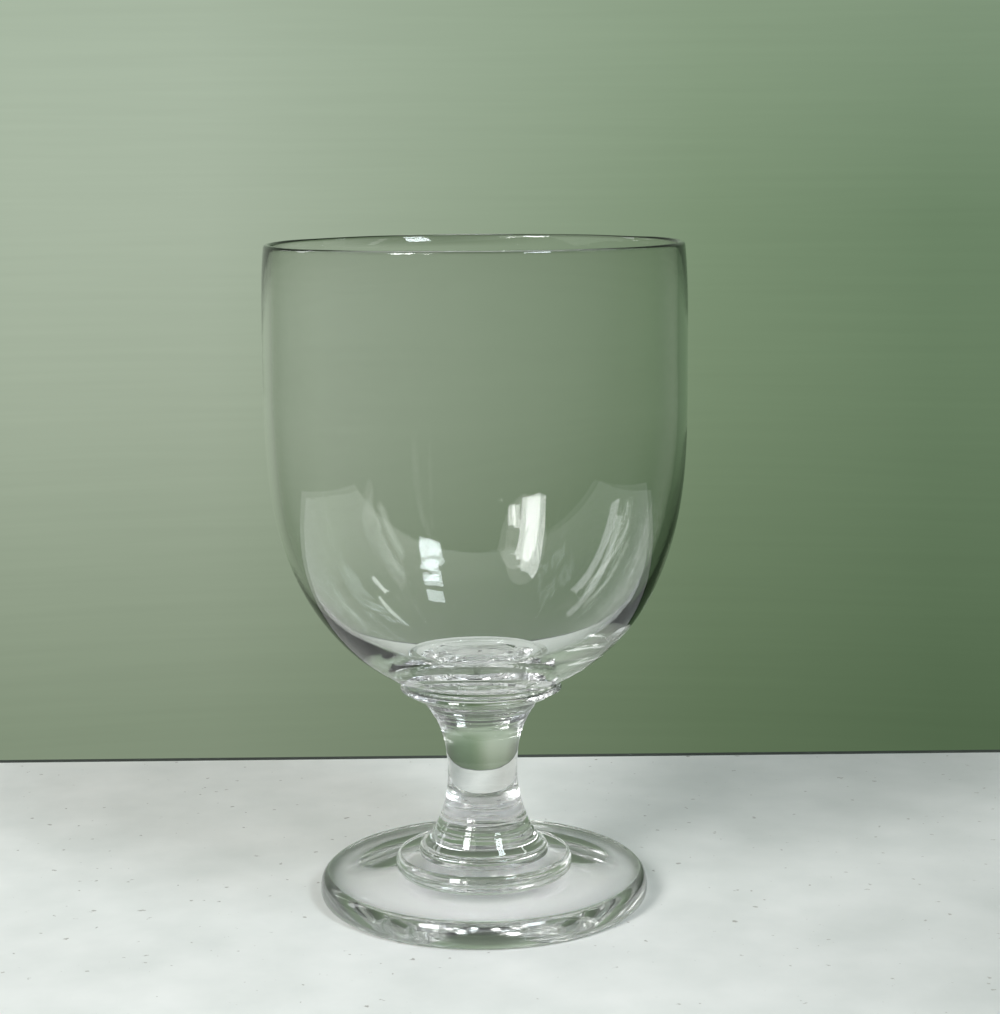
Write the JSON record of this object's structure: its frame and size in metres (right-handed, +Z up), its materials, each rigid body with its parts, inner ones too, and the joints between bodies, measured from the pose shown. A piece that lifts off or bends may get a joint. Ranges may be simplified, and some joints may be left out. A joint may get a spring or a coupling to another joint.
{
  "type": "rummer glass",
  "caption": "Hand-blown clear glass rummer with a deep bucket bowl, fire-polished rim, flat collar, short waisted stem, stepped disc and heavy round foot.",
  "frame": {"origin": "centre of the flat ring that the foot stands on", "axes": "+Z up along the turning axis of the glass; it is round, so +X and +Y are free"},
  "size_m": [0.1008, 0.1008, 0.16],
  "materials": {
    "blown_glass": "fire-polished, clear, faintly grey",
    "thick_glass": "fire-polished, clear with a faint grey-green tint, fine tool rings",
    "broken_glass": "rough break, partly ground"
  },
  "bodies": {
    "root": {"foot": "thick_glass", "pontil_scar": "broken_glass", "foot_collar": "thick_glass", "stem": "thick_glass", "bowl_collar": "thick_glass", "bowl": "blown_glass"}
  },
  "joints": []
}
